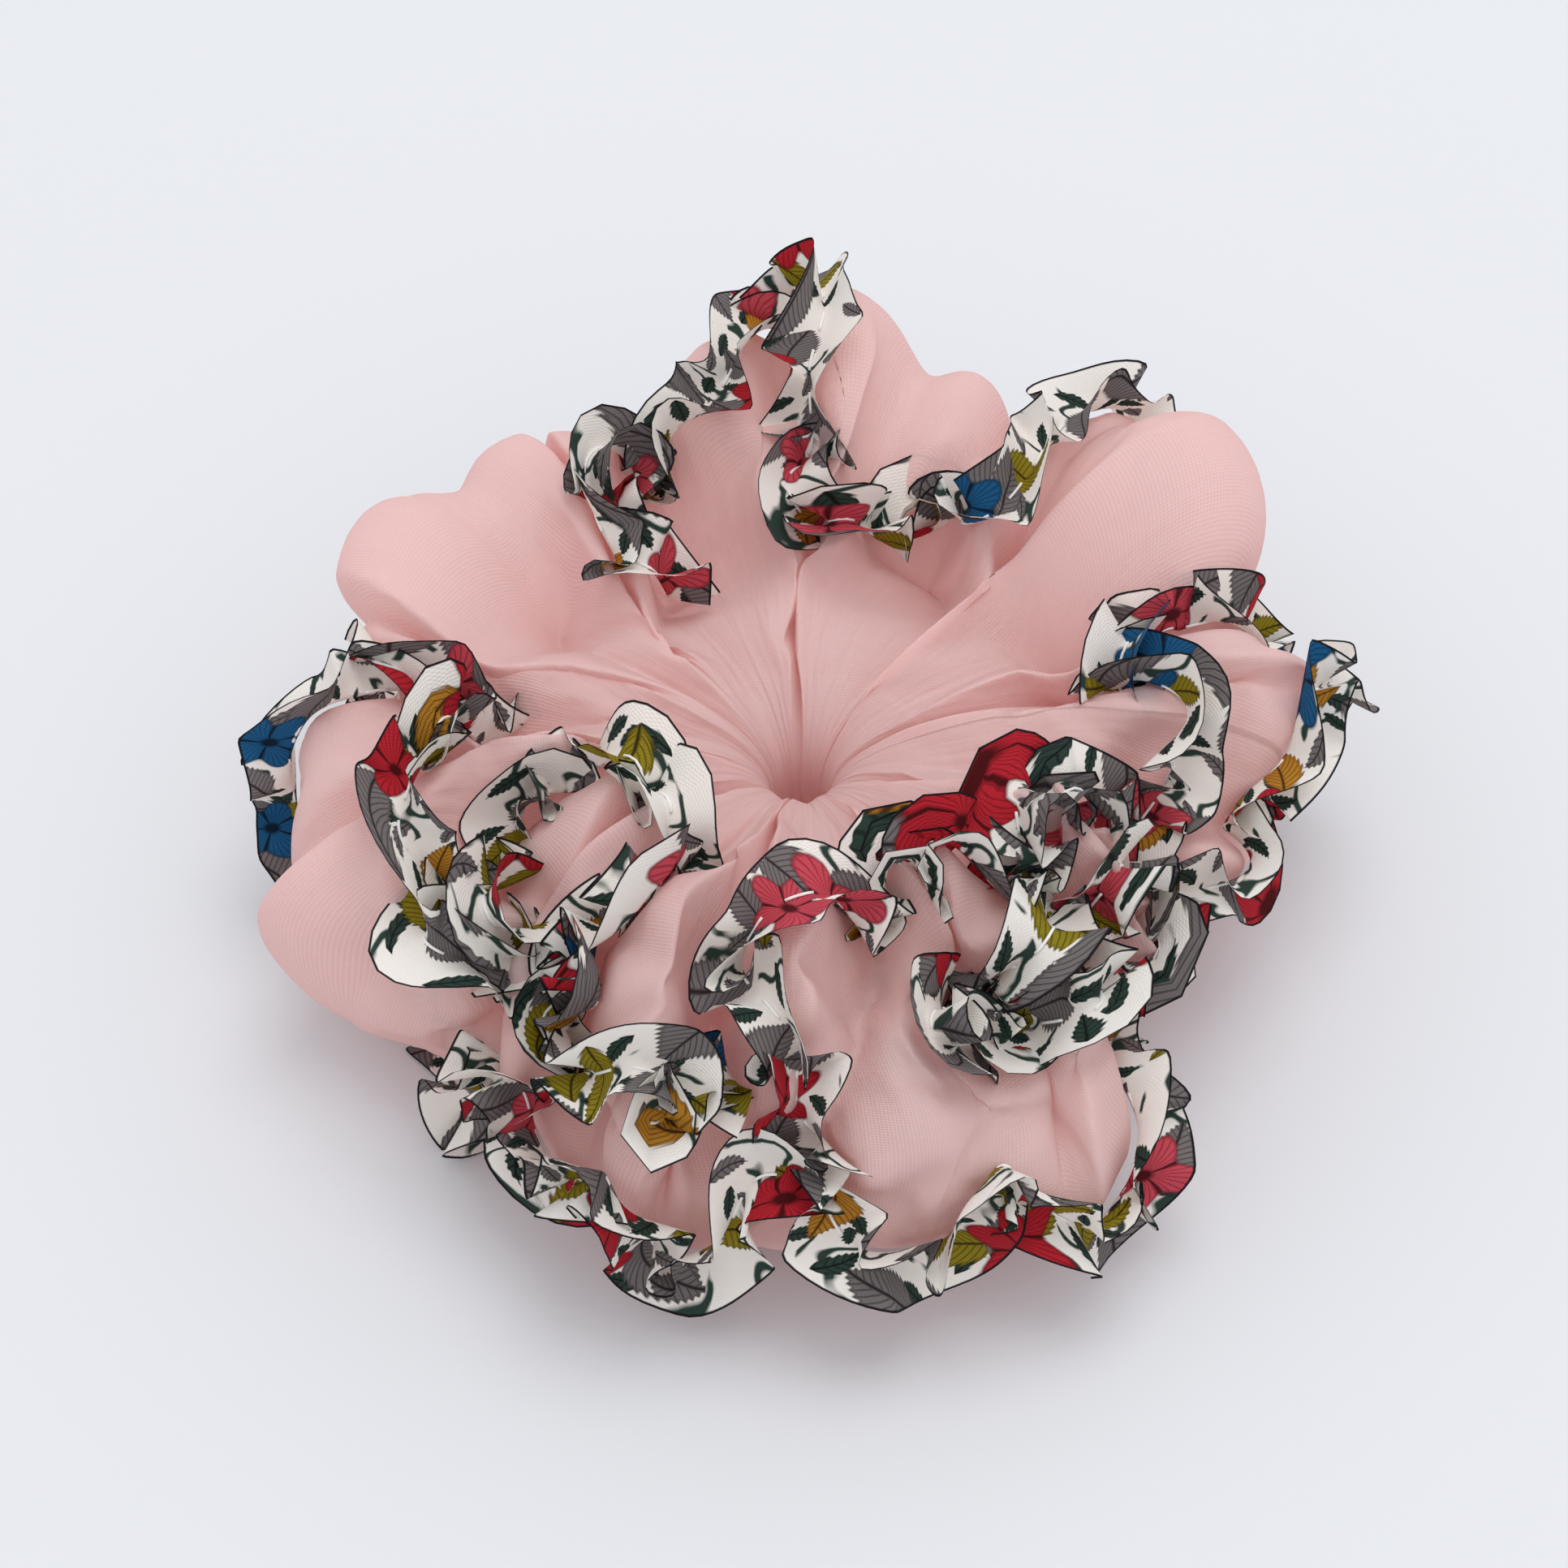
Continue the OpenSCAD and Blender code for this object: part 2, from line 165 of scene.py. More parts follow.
def mesh_object(name, verts, faces, uv=None):
    mesh = bpy.data.meshes.new(name)
    mesh.from_pydata([tuple(v) for v in np.asarray(verts) * MM], [], faces)
    if uv is not None:
        layer = mesh.uv_layers.new(name="cloth_mm")
        index = np.empty(len(mesh.loops), dtype=np.int64)
        mesh.loops.foreach_get("vertex_index", index)
        layer.data.foreach_set("uv", np.asarray(uv, float)[index].ravel())
    mesh.polygons.foreach_set("use_smooth", [True] * len(mesh.polygons))
    mesh.update()
    obj = bpy.data.objects.new(name, mesh)
    bpy.context.collection.objects.link(obj)
    return obj


# Chiffon tube: points round the loop and the section, mean radius that the weave is laid out on, and the
# height and half width of the pinch along each sewn row
AROUND, ACROSS = 360, 84
CLOTH_R = 60.0
FIN_H, FIN_W = 2.6, 5.0
PROFILE_POINTS = 2001
CHUNK = 400
rows = {"upper": UPPER_ROW, "middle": MIDDLE_ROW, "left": LEFT_ROW, "lower": LOWER_ROW}
paths = {n: spline(r, ROW_STEP) for n, r in rows.items()}

phi_fine = np.linspace(-180, 180, PROFILE_POINTS)
profile = ring(np.zeros(PROFILE_POINTS), phi_fine, base_size(np.full(PROFILE_POINTS, 180.0), phi_fine))
arc = np.concatenate([[0], np.cumsum(np.linalg.norm(np.diff(profile, axis=0), axis=1))])
phi_list = np.interp(np.linspace(0, arc[-1], ACROSS, endpoint=False), arc, phi_fine)
azimuth, section = np.meshgrid(np.linspace(0, 360, AROUND, endpoint=False), phi_list, indexing="ij")


def fold_share(th, ph):
    """Folds are deep on the slope into the hole, shallower over the rim and gone underneath."""
    c, s = np.cos(np.radians(ph)), np.sin(np.radians(ph))
    rim = RIM_SHARE + RIM_FRONT * ease(0.3 - np.sin(np.radians(th)))
    return ease((s + 0.6) * 1.2) * (rim + (1 - rim) * ease((0.95 - c) / 0.7))


def gather(th, ph):
    """Size of the cover, and the turn that lays one fold over the next."""
    bend = th
    for swing, round_loop, round_section in FOLD_WAVES:
        bend = bend + swing * np.sin(np.radians(round_loop * th + round_section * ph))
    r = base_size(th, ph) + lobe_size(th, ph)
    reach = CORE_R + r * np.cos(np.radians(ph))
    share = fold_share(th, ph)
    count = len(FOLDS)
    widths = [wrap(FOLDS[(i + 1) % count][0] - FOLDS[i][0]) for i in range(count)]
    live = [share * ease((reach - f[1] + FOLD_ONSET / 2) / FOLD_ONSET) for f in FOLDS]
    depth = []
    for i, f in enumerate(FOLDS):
        steepest = FOLD_STEEP * math.radians(widths[i - 1] + widths[i]) / 4 * reach
        depth.append(f[4] * np.minimum(FOLD_DEPTH, steepest) * live[i])
    dip, turn = np.zeros_like(r), np.zeros_like(r)
    for i, (t, _, ridge, over, _) in enumerate(FOLDS):
        y = (bend - t) % 360 / widths[i]
        hill = np.where(y < ridge, y / ridge, (1 - y) / (1 - ridge))
        hill = 1 - (1 - np.clip(hill, 0, 1)) ** FOLD_ROUND
        after = (i + 1) % count
        dip = dip + np.where(y < 1, (1 - hill) * np.where(y < ridge, depth[i], depth[after]), 0)
        turn = turn + np.where(y < 1, widths[i] * over * hill * np.minimum(live[i], live[after]), 0)
    return r - dip, turn


def cover_size(th, ph):
    return gather(th, ph)[0]


def row_size(th, ph):
    """Size of the cover where a row is sewn to it."""
    return base_size(th, ph) + ROW_LOBE * lobe_size(th, ph)


# The cover is pinched up along the rows
size, turn = gather(azimuth, section)
place = ring(azimuth + turn, section, size)
path_points = np.vstack([ring(p[:, 0], p[:, 1], row_size(p[:, 0], p[:, 1])) for p in paths.values()])
flat = place.reshape(-1, 3)
near = np.full(len(flat), np.inf)
for i in range(0, len(path_points), CHUNK):
    d = np.linalg.norm(flat[:, None, :] - path_points[None, i:i + CHUNK:2, :], axis=2)
    near = np.minimum(near, d.min(axis=1))
near = near.reshape(size.shape)
grip = np.exp(-(near / FIN_W) ** 2)
target = row_size(azimuth, section) + FIN_H
size = size + (target - size) * grip
place = ring(azimuth + turn * (1 - grip), section, size)


def grid_faces(rows, columns):
    i = np.arange(rows * columns).reshape(rows, columns)
    j = np.roll(i, -1, axis=0)
    quads = np.stack([i, j, np.roll(j, -1, axis=1), np.roll(i, -1, axis=1)], axis=-1)
    return quads.reshape(-1, 4).tolist()


def finer(grid):
    """Doubles a closed grid of points both ways on smooth curves."""
    for axis in (0, 1):
        mid = (9 * (grid + np.roll(grid, -1, axis)) - np.roll(grid, 1, axis) - np.roll(grid, -2, axis)) / 16
        shape = list(grid.shape)
        shape[axis] *= 2
        grid = np.stack([grid, mid], axis=axis + 1).reshape(shape)
    return grid


# The settling run: its enlargement, its frames, the share of its movement that is used, and the cloth
SIM_SCALE = 10.0
SIM_FRAMES = 24
SETTLE = 0.45
SLACK_CLOTH = dict(
    quality=6, mass=0.1, tension_stiffness=20, compression_stiffness=20, shear_stiffness=8,
    bending_stiffness=5.0, air_damping=2, pin_stiffness=1.0, shrink_min=-0.09, shrink_max=-0.09)
# Held cloth: where the underside starts and how fast, radius and fade at the hole, and the least hold
UNDER_START, UNDER_RATE = 0.2, 1.5
HOLE_HELD, HOLE_FADE = 17.0, 6.0
LEAST_HELD = 0.02


def settled(grid, held, frames):
    """Lets the slack cloth buckle into soft folds while its seams and gathers are held."""
    obj = mesh_object("slack", grid.reshape(-1, 3) * SIM_SCALE, grid_faces(*grid.shape[:2]))
    group = obj.vertex_groups.new(name="held")
    pins = np.round(held, 2).ravel()
    for w in np.unique(pins):
        group.add(np.nonzero(pins == w)[0].tolist(), float(w), "REPLACE")
    mod = obj.modifiers.new("settle", "CLOTH")
    for key, value in SLACK_CLOTH.items():
        setattr(mod.settings, key, value)
    mod.settings.vertex_group_mass = "held"
    mod.settings.effector_weights.gravity = 0.0
    mod.collision_settings.use_collision = False
    mod.point_cache.frame_end = frames
    scene = bpy.context.scene
    for f in range(1, frames + 1):
        scene.frame_set(f)
    out = np.empty(grid.size)
    obj.evaluated_get(bpy.context.evaluated_depsgraph_get()).data.vertices.foreach_get("co", out)
    scene.frame_set(1)
    mesh = obj.data
    bpy.data.objects.remove(obj)
    bpy.data.meshes.remove(mesh)
    return out.reshape(grid.shape) / SIM_SCALE / MM


held = np.maximum(grip ** 2, ease((-np.sin(np.radians(section)) - UNDER_START) * UNDER_RATE))
held = np.maximum(held, ease((HOLE_HELD - np.hypot(place[..., 0], place[..., 1])) / HOLE_FADE))
place = place + SETTLE * (settled(place, np.maximum(held, LEAST_HELD), SIM_FRAMES) - place)
place = finer(place)
place[..., 2] = np.maximum(place[..., 2], FLOOR_GAP)
around = np.linspace(0, 2 * math.pi * CLOTH_R, place.shape[0], endpoint=False)
across = np.linspace(0, arc[-1], place.shape[1], endpoint=False)
cloth_run = np.stack(np.meshgrid(around, across, indexing="ij"), axis=-1)
cover = mesh_object("cover", place.reshape(-1, 3), grid_faces(*place.shape[:2]), cloth_run.reshape(-1, 2))

# Ribbon sewn along the rows, its middle gathered and its edges standing in crisp folds
cover_tree = BVHTree.FromObject(cover, bpy.context.evaluated_depsgraph_get())
STATIONS_PER_MM = 1.6
ACROSS_TRIM = (-1.0, -0.86, -0.62, -0.36, -0.14, 0.0, 0.14, 0.36, 0.62, 0.86, 1.0)
# Corners of an edge: lean in degrees where it stands up and where it lies down, the range that tipping
# keeps to, slip along the row in mm, step in frill pitches, and how often the slip changes sides
EDGE_UP, EDGE_DOWN, EDGE_LIMITS = (66, 98), (10, 32), (4, 112)
SLIP, CORNER_STEP, SLIP_SWAP = (1.2, 4.4), (0.34, 0.66), 0.3
# Random swings of a row, each as pitch in mm and size: tipping in degrees, swaying and bobbing in mm
TIP, SWAY, BOB = (18, 26), (11, 1.8), (9, 0.7)
RIBBON_LIFT, RIBBON_FLOOR = 1.2, 0.4
# How the width bends from the middle to the edge, sideways and upwards
BEND_SIDE, BEND_UP = 0.85, 1.15
# Length of print per length of row, as the ribbon is gathered
GATHER = 2.0
FIRST_SEED = 11
RAY_LIFT, RAY_START = 4.0, 0.6
PRINT_SHIFT = 0.37
STITCH_POINTS = 6
STITCH_LIFT = 0.1


def fold_line(length, rnd):
    """Corners of one ribbon edge: place along the row, lean in degrees and slip along the row."""
    s, out, up = -rnd.uniform(0, FRILL_PITCH), [], rnd.random() < 0.5
    slip = 1 if rnd.random() < 0.5 else -1
    while s < length + FRILL_PITCH:
        lean = rnd.uniform(*(EDGE_UP if up else EDGE_DOWN))
        out.append((s, lean, rnd.uniform(*SLIP) * (slip if up else -slip)))
        s += rnd.uniform(*CORNER_STEP) * FRILL_PITCH
        if up and rnd.random() < SLIP_SWAP:
            slip = -slip
        up = not up
    return np.array(out)


def soft(x, k):
    """Running mean over k points."""
    w = np.hanning(k + 2)[1:-1]
    return np.convolve(np.pad(x, k // 2, mode="edge"), w / w.sum(), mode="valid")[:len(x)]


def wander(s, rnd, pitch, size):
    """Smooth random swing along a row."""
    knots = np.arange(-pitch, s[-1] + 2 * pitch, pitch)
    swing = np.interp(s, knots, [rnd.uniform(-size, size) for _ in knots])
    return soft(swing, int(0.5 * pitch * STATIONS_PER_MM) | 1)


ribbon_parts, stitch_parts = [], []


def on_cover(path):
    """Places on the cover under a row, and the way out from it."""
    here = ring(path[:, 0], path[:, 1], cover_size(path[:, 0], path[:, 1]) + RAY_LIFT)
    points, normals = [], []
    core = ring(path[:, 0], path[:, 1], np.zeros(len(path)))
    for p, c in zip(here, core):
        start = Vector(p + (p - c) * RAY_START) * MM
        aim = (Vector(c) * MM - start).normalized()
        spot, normal, _, _ = cover_tree.ray_cast(start, aim)
        if spot is None:
            spot, normal = Vector(p) * MM, -aim
        points.append(np.array(spot) / MM)
        outward = normal if normal.dot(-aim) > 0 else -normal
        normals.append(np.array(-aim) * 0.5 + np.array(outward) * 0.5)
    points, normals = np.array(points), np.array(normals)
    points = np.stack([soft(points[:, i], 9) for i in range(3)], axis=1)
    return points, np.stack([soft(normals[:, i], 21) for i in range(3)], axis=1)


def sew(path, seed):
    """One row: a strip of ribbon and the stitches along its middle."""
    rnd = random.Random(seed)
    points, normals = on_cover(path)
    run = np.concatenate([[0], np.cumsum(np.linalg.norm(np.diff(points, axis=0), axis=1))])
    count = int(run[-1] * STATIONS_PER_MM)
    s = np.linspace(0, run[-1], count)
    mid = np.stack([np.interp(s, run, points[:, i]) for i in range(3)], axis=1)
    nor = np.stack([np.interp(s, run, normals[:, i]) for i in range(3)], axis=1)
    tan = np.gradient(mid, axis=0)
    tan /= np.linalg.norm(tan, axis=1)[:, None]
    nor -= tan * (nor * tan).sum(axis=1)[:, None]
    nor /= np.linalg.norm(nor, axis=1)[:, None]
    across = np.cross(nor, tan)
    k = max(3, int(0.8 * STATIONS_PER_MM) | 1)
    tip = wander(s, rnd, *TIP)
    mid = mid + across * wander(s, rnd, *SWAY)[:, None]
    half = TRIM_W / 2
    mid = mid + nor * (wander(s, rnd, *BOB) + RIBBON_LIFT)[:, None]
    edges = []
    for sign in (1, -1):
        f = fold_line(run[-1], rnd)
        lean = np.radians(np.clip(f[:, 1] + sign * np.interp(f[:, 0], s, tip), *EDGE_LIMITS))
        corner = (sign * np.cos(lean) * half, np.sin(lean) * half, f[:, 2])
        side, rise, slip = (soft(np.interp(s, f[:, 0], c), k) for c in corner)
        edges.append(across * side[:, None] + nor * rise[:, None] + tan * slip[:, None])
    verts, uvs = [], []
    for v in ACROSS_TRIM:
        a = abs(v)
        edge = edges[0] if v >= 0 else edges[1]
        rise = (edge * nor).sum(axis=1)[:, None] * nor
        verts.append(mid + (edge - rise) * a ** BEND_SIDE + rise * a ** BEND_UP)
        uvs.append(np.stack([s * GATHER, np.full(count, half + v * half)], axis=1))
    verts, uvs = np.stack(verts, axis=1), np.stack(uvs, axis=1)
    verts[..., 2] = np.maximum(verts[..., 2], RIBBON_FLOOR)
    ribbon_parts.append((verts, uvs))
    middle = verts[:, ACROSS_TRIM.index(0.0)] + nor * (THREAD_R + STITCH_LIFT)
    middle[:, 2] = np.maximum(middle[:, 2], RIBBON_FLOOR)
    t = STITCH_PITCH
    while t < run[-1] - STITCH_PITCH:
        inside = np.linspace(t, t + STITCH_L, STITCH_POINTS)
        stitch_parts.append(np.stack([np.interp(inside, s, middle[:, i]) for i in range(3)], axis=1))
        t += STITCH_PITCH


for seed, path in enumerate(paths.values(), FIRST_SEED):
    sew(path, seed)


def strips(parts):
    """Joins open grids of points into one mesh, each with its own stretch of the print."""
    verts, uvs, faces, base = [], [], [], 0
    for v, u in parts:
        n, m = v.shape[:2]
        i = np.arange(n * m).reshape(n, m) + base
        quads = np.stack([i[:-1, :-1], i[1:, :-1], i[1:, 1:], i[:-1, 1:]], axis=-1)
        faces += quads.reshape(-1, 4).tolist()
        verts.append(v.reshape(-1, 3))
        uvs.append(u.reshape(-1, 2) + [base * PRINT_SHIFT, 0])
        base += n * m
    return np.vstack(verts), faces, np.vstack(uvs)


def tubes(lines, radius, sides=6):
    """Round threads along lines of points, closed at both ends."""
    verts, faces, base = [], [], 0
    for p in lines:
        t = np.gradient(p, axis=0)
        t /= np.linalg.norm(t, axis=1)[:, None]
        ref = np.where(np.abs(t[:, 2:3]) > 0.9, [[1.0, 0, 0]], [[0, 0, 1.0]])
        a = np.cross(t, ref)
        a /= np.linalg.norm(a, axis=1)[:, None]
        b = np.cross(t, a)
        w = (2 * math.pi * np.arange(sides) / sides)[None, :, None]
        v = p[:, None, :] + radius * (a[:, None, :] * np.cos(w) + b[:, None, :] * np.sin(w))
        n = len(p)
        i = np.arange(n * sides).reshape(n, sides) + base
        j = np.roll(i, -1, axis=1)
        faces += np.stack([i[:-1], i[1:], j[1:], j[:-1]], axis=-1).reshape(-1, 4).tolist()
        faces += [i[0].tolist(), i[-1][::-1].tolist()]
        verts.append(v.reshape(-1, 3))
        base += n * sides
    return np.vstack(verts), faces


v, f, u = strips(ribbon_parts)
trim = mesh_object("trim", v, f, u)
v, f = tubes(stitch_parts, THREAD_R)
trim_stitches = mesh_object("trim_stitches", v, f)


# Materials, with the pitch of each weave and the width of the ribbon's dark edge in mm
CHIFFON_WEAVE, RIBBON_WEAVE = 0.31, 0.55
SELVEDGE = 0.42
PETALS = 5


def srgb(r, g, b):
    def linear(c):
        return (c / 255) / 12.92 if c <= 10 else ((c / 255 + 0.055) / 1.055) ** 2.4
    return linear(r), linear(g), linear(b), 1


def material(name):
    m = bpy.data.materials.new(name)
    m.use_nodes = True
    m.node_tree.nodes.clear()
    return m, m.node_tree.nodes, m.node_tree.links


def node(nodes, kind, **sets):
    n = nodes.new(kind)
    for key, value in sets.items():
        setattr(n, key, value)
    return n


def maths(nodes, links, op, a, b=None, c=None, clamp=False):
    n = node(nodes, "ShaderNodeMath", operation=op, use_clamp=clamp)
    for i, x in enumerate((a, b, c)):
        if x is None:
            continue
        if isinstance(x, (int, float)):
            n.inputs[i].default_value = x
        else:
            links.new(x, n.inputs[i])
    return n.outputs[0]


def threads(nodes, links, sep, pitch):
    """Waves of the warp and of the weft."""
    turns = 2 * math.pi / pitch
    return [maths(nodes, links, "SINE", maths(nodes, links, "MULTIPLY", sep.outputs[i], turns))
            for i in (0, 1)]


def chiffon_material():
    m, nodes, links = material("chiffon")
    out = node(nodes, "ShaderNodeOutputMaterial")
    tex = node(nodes, "ShaderNodeUVMap", uv_map="cloth_mm")
    sep = node(nodes, "ShaderNodeSeparateXYZ")
    links.new(tex.outputs[0], sep.inputs[0])
    warp, weft = threads(nodes, links, sep, CHIFFON_WEAVE)
    weave = maths(nodes, links, "ADD", warp, weft)
    along = node(nodes, "ShaderNodeMapping")
    along.inputs["Scale"].default_value = (0.2, 0.03, 1)
    links.new(tex.outputs[0], along.inputs[0])
    streaks = node(nodes, "ShaderNodeTexNoise", noise_dimensions="2D")
    streaks.inputs["Scale"].default_value = 1.0
    streaks.inputs["Detail"].default_value = 3.0
    links.new(along.outputs[0], streaks.inputs["Vector"])
    creases = node(nodes, "ShaderNodeBump")
    creases.inputs["Strength"].default_value = 0.5
    creases.inputs["Distance"].default_value = 0.0012
    links.new(streaks.outputs[0], creases.inputs["Height"])
    bump = node(nodes, "ShaderNodeBump")
    bump.inputs["Strength"].default_value = 0.25
    bump.inputs["Distance"].default_value = 0.0001
    links.new(weave, bump.inputs["Height"])
    links.new(creases.outputs[0], bump.inputs["Normal"])
    skin = node(nodes, "ShaderNodeBsdfPrincipled")
    skin.inputs["Base Color"].default_value = srgb(255, 228, 225)
    skin.inputs["Roughness"].default_value = 0.75
    skin.inputs["Sheen Weight"].default_value = 0.35
    skin.inputs["Sheen Roughness"].default_value = 0.5
    skin.inputs["Sheen Tint"].default_value = srgb(255, 236, 234)
    skin.inputs["Specular IOR Level"].default_value = 0.2
    links.new(bump.outputs[0], skin.inputs["Normal"])
    glow = node(nodes, "ShaderNodeBsdfTranslucent")
    glow.inputs["Color"].default_value = srgb(255, 202, 196)
    clear = node(nodes, "ShaderNodeBsdfTransparent")
    clear.inputs["Color"].default_value = srgb(255, 232, 230)
    mix = node(nodes, "ShaderNodeMixShader")
    mix.inputs[0].default_value = 0.35
    links.new(skin.outputs[0], mix.inputs[1])
    links.new(glow.outputs[0], mix.inputs[2])
    sheer = node(nodes, "ShaderNodeMixShader")
    links.new(maths(nodes, links, "MULTIPLY_ADD", weave, 0.035, 0.13), sheer.inputs[0])
    links.new(mix.outputs[0], sheer.inputs[1])
    links.new(clear.outputs[0], sheer.inputs[2])
    links.new(sheer.outputs[0], out.inputs["Surface"])
    return m


def ribbon_material():
    m, nodes, links = material("floral_ribbon")
    out = node(nodes, "ShaderNodeOutputMaterial")
    tex = node(nodes, "ShaderNodeUVMap", uv_map="cloth_mm")
    sep = node(nodes, "ShaderNodeSeparateXYZ")
    links.new(tex.outputs[0], sep.inputs[0])

    def mixed(fac, a, b):
        n = node(nodes, "ShaderNodeMix", data_type="RGBA")
        links.new(fac, n.inputs["Factor"])
        for sock, x in ((n.inputs[6], a), (n.inputs[7], b)):
            if isinstance(x, tuple):
                sock.default_value = x
            else:
                links.new(x, sock)
        return n.outputs[2]

    def cells(pitch, shift):
        """Scattered cells: place in the cell, turned at random, and three random values."""
        move = node(nodes, "ShaderNodeMapping")
        move.inputs["Location"].default_value = (shift, shift * 0.6, 0)
        move.inputs["Scale"].default_value = (1 / pitch, 1 / pitch, 1)
        links.new(tex.outputs[0], move.inputs[0])
        spots = node(nodes, "ShaderNodeTexVoronoi", voronoi_dimensions="2D", feature="F1")
        spots.inputs["Scale"].default_value = 1
        spots.inputs["Randomness"].default_value = 0.75
        links.new(move.outputs[0], spots.inputs["Vector"])
        rel = node(nodes, "ShaderNodeVectorMath", operation="SUBTRACT")
        links.new(move.outputs[0], rel.inputs[0])
        links.new(spots.outputs["Position"], rel.inputs[1])
        tone = node(nodes, "ShaderNodeSeparateColor")
        links.new(spots.outputs["Color"], tone.inputs[0])
        turn = node(nodes, "ShaderNodeVectorRotate", rotation_type="Z_AXIS")
        links.new(rel.outputs[0], turn.inputs["Vector"])
        links.new(maths(nodes, links, "MULTIPLY", tone.outputs[0], 2 * math.pi), turn.inputs["Angle"])
        at = node(nodes, "ShaderNodeSeparateXYZ")
        links.new(turn.outputs[0], at.inputs[0])
        return at.outputs[0], at.outputs[1], tone.outputs

    def inked(ground, inside, lines, tone, share, stops):
        """Lays one hatched and outlined motif over the ground."""
        ramp = node(nodes, "ShaderNodeValToRGB")
        ramp.color_ramp.interpolation = "CONSTANT"
        for i, (pos, col) in enumerate(stops):
            e = ramp.color_ramp.elements[i] if i < 2 else ramp.color_ramp.elements.new(pos)
            e.position = pos
            e.color = col
        links.new(tone[1], ramp.inputs[0])
        rim = maths(nodes, links, "MULTIPLY_ADD", inside, -26.0, 1.2, clamp=True)
        deep = node(nodes, "ShaderNodeMix", data_type="RGBA", blend_type="MULTIPLY")
        deep.inputs[0].default_value = 1.0
        links.new(ramp.outputs[0], deep.inputs[6])
        deep.inputs[7].default_value = (0.14, 0.11, 0.12, 1)
        colour = mixed(maths(nodes, links, "MAXIMUM", lines, rim), ramp.outputs[0], deep.outputs[2])
        mask = maths(nodes, links, "MULTIPLY_ADD", inside, 40.0, 0.0, clamp=True)
        keep = maths(nodes, links, "MULTIPLY", mask, maths(nodes, links, "LESS_THAN", tone[2], share))
        return mixed(keep, ground, colour)

    def leaf_layer(ground, pitch, shift, length, width, share, stops):
        x, y, tone = cells(pitch, shift)
        y = maths(nodes, links, "ABSOLUTE", y)
        slant = maths(nodes, links, "SUBTRACT", x, maths(nodes, links, "MULTIPLY", y, 0.9))
        veins = maths(nodes, links, "SINE", maths(nodes, links, "MULTIPLY", slant, 5.6 * pitch))
        taper = maths(nodes, links, "MULTIPLY", maths(nodes, links, "POWER",
                      maths(nodes, links, "ABSOLUTE", x), 2.0), width / length ** 2)
        inside = maths(nodes, links, "SUBTRACT", maths(nodes, links, "SUBTRACT", width, taper), y)
        inside = maths(nodes, links, "MULTIPLY_ADD", veins, 0.016, inside)
        hatch = maths(nodes, links, "MULTIPLY_ADD", veins, 1.3, -0.45, clamp=True)
        rib = maths(nodes, links, "MULTIPLY_ADD", y, -50.0, 1.3, clamp=True)
        lines = maths(nodes, links, "MAXIMUM", maths(nodes, links, "MULTIPLY", hatch, 0.8), rib)
        return inked(ground, inside, lines, tone, share, stops)

    def flower_layer(ground, pitch, shift, size, share, stops):
        x, y, tone = cells(pitch, shift)
        turn = maths(nodes, links, "ARCTAN2", y, x)
        away = maths(nodes, links, "SQRT", maths(nodes, links, "ADD", maths(nodes, links, "MULTIPLY", x, x),
                     maths(nodes, links, "MULTIPLY", y, y)))
        petal = maths(nodes, links, "COSINE", maths(nodes, links, "MULTIPLY", turn, PETALS))
        reach = maths(nodes, links, "MULTIPLY_ADD", petal, 0.2 * size, 0.8 * size)
        inside = maths(nodes, links, "SUBTRACT", reach, away)
        split = maths(nodes, links, "MULTIPLY_ADD", petal, -6.0, -4.9, clamp=True)
        rays = maths(nodes, links, "SINE", maths(nodes, links, "MULTIPLY", turn, 40.0))
        hatch = maths(nodes, links, "MULTIPLY_ADD", rays, 1.6, -0.6, clamp=True)
        hatch = maths(nodes, links, "MULTIPLY", hatch, 0.55)
        heart = maths(nodes, links, "MULTIPLY_ADD", away, -30.0, 30.0 * 0.07, clamp=True)
        lines = maths(nodes, links, "MAXIMUM", maths(nodes, links, "MAXIMUM", split, hatch), heart)
        return inked(ground, inside, lines, tone, share, stops)

    red, rose = srgb(186, 34, 48), srgb(208, 78, 92)
    olive, gold = srgb(148, 134, 30), srgb(190, 134, 44)
    grey, green, teal = srgb(122, 116, 116), srgb(46, 66, 58), srgb(28, 92, 138)
    cream = srgb(250, 246, 239)
    stems = node(nodes, "ShaderNodeTexNoise", noise_dimensions="2D")
    stems.inputs["Scale"].default_value = 0.1
    stems.inputs["Detail"].default_value = 1.0
    links.new(tex.outputs[0], stems.inputs["Vector"])
    level = maths(nodes, links, "ABSOLUTE", maths(nodes, links, "SUBTRACT", stems.outputs[0], 0.5))
    twig = node(nodes, "ShaderNodeSeparateColor")
    links.new(stems.outputs["Color"], twig.inputs[0])
    stem = maths(nodes, links, "MULTIPLY_ADD", level, -44.0, 2.0, clamp=True)
    stem = maths(nodes, links, "MULTIPLY", stem,
                 maths(nodes, links, "MULTIPLY_ADD", twig.outputs[1], 30.0, -14.4, clamp=True))
    colour = mixed(stem, cream, green)
    colour = leaf_layer(colour, 8.0, 3.1, 0.46, 0.18, 0.85, ((0.0, green), (0.7, grey)))
    colour = leaf_layer(colour, 15.0, 0.0, 0.52, 0.28, 0.95,
                        ((0.0, grey), (0.45, olive), (0.75, gold), (0.86, grey)))
    colour = flower_layer(colour, 25.0, 5.3, 0.34, 0.62, ((0.0, red), (0.55, rose), (0.85, teal)))
    edge = maths(nodes, links, "ABSOLUTE", maths(nodes, links, "SUBTRACT", sep.outputs[1], TRIM_W / 2))
    black = maths(nodes, links, "MULTIPLY_ADD", edge, 6.0, -6.0 * (TRIM_W / 2 - SELVEDGE), clamp=True)
    colour = mixed(black, colour, srgb(24, 22, 26))
